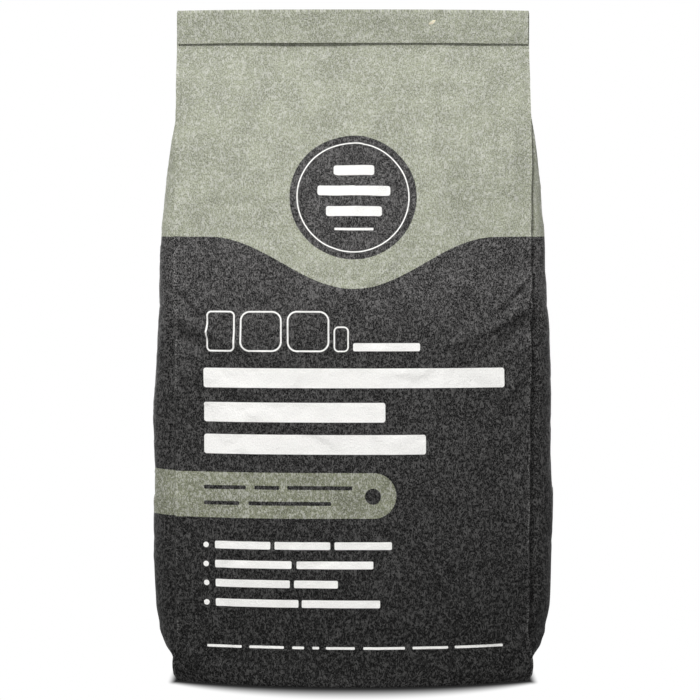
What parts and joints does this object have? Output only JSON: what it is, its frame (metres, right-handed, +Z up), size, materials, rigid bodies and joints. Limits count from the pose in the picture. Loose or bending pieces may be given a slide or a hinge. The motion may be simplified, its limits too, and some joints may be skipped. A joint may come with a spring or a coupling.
{
  "type": "filled paper charcoal sack",
  "caption": "Tall gusseted paper sack filled with lump charcoal, standing on a square folded bottom, its mouth folded once to the front and glued shut.",
  "frame": {"origin": "middle of the flat face it stands on", "axes": "+Z up the sack's height; +X to the right as seen from the front; +Y from the front panel, which carries the flap and print, to the back"},
  "size_m": [0.4766, 0.22, 0.7957],
  "materials": {
    "printed_paper": "uncoated kraft paper printed matt in two inks, sage grey above and charcoal grey below",
    "kraft_paper": "plain brown kraft paper",
    "hot_melt_glue": "set hot-melt glue, satin",
    "charcoal": "charred hardwood, cracked, dull black with a faint sheen on split faces"
  },
  "bodies": {
    "root": {"paper_sack": "printed_paper", "bottom_patch": "kraft_paper", "closure_glue_1": "hot_melt_glue", "closure_glue_2": "hot_melt_glue", "charcoal_lump_01": "charcoal", "charcoal_lump_02": "charcoal", "charcoal_lump_03": "charcoal", "charcoal_lump_04": "charcoal", "charcoal_lump_05": "charcoal", "charcoal_lump_06": "charcoal", "charcoal_lump_07": "charcoal", "charcoal_lump_08": "charcoal", "charcoal_lump_09": "charcoal", "charcoal_lump_10": "charcoal", "charcoal_lump_11": "charcoal", "charcoal_lump_12": "charcoal", "charcoal_lump_13": "charcoal", "charcoal_lump_14": "charcoal", "charcoal_lump_15": "charcoal", "charcoal_lump_16": "charcoal", "charcoal_lump_17": "charcoal", "charcoal_lump_18": "charcoal", "charcoal_lump_19": "charcoal", "charcoal_lump_20": "charcoal", "charcoal_lump_21": "charcoal", "charcoal_lump_22": "charcoal", "charcoal_lump_23": "charcoal", "charcoal_lump_24": "charcoal", "charcoal_lump_25": "charcoal", "charcoal_lump_26": "charcoal", "charcoal_lump_27": "charcoal", "charcoal_lump_28": "charcoal", "charcoal_lump_29": "charcoal", "charcoal_lump_30": "charcoal", "charcoal_lump_31": "charcoal", "charcoal_lump_32": "charcoal", "charcoal_lump_33": "charcoal", "charcoal_lump_34": "charcoal", "charcoal_lump_35": "charcoal", "charcoal_lump_36": "charcoal", "charcoal_lump_37": "charcoal", "charcoal_lump_38": "charcoal", "charcoal_lump_39": "charcoal", "charcoal_lump_40": "charcoal", "charcoal_lump_41": "charcoal", "charcoal_lump_42": "charcoal", "charcoal_lump_43": "charcoal", "charcoal_lump_44": "charcoal", "charcoal_lump_45": "charcoal", "charcoal_lump_46": "charcoal", "charcoal_lump_47": "charcoal", "charcoal_lump_48": "charcoal"}
  },
  "joints": []
}
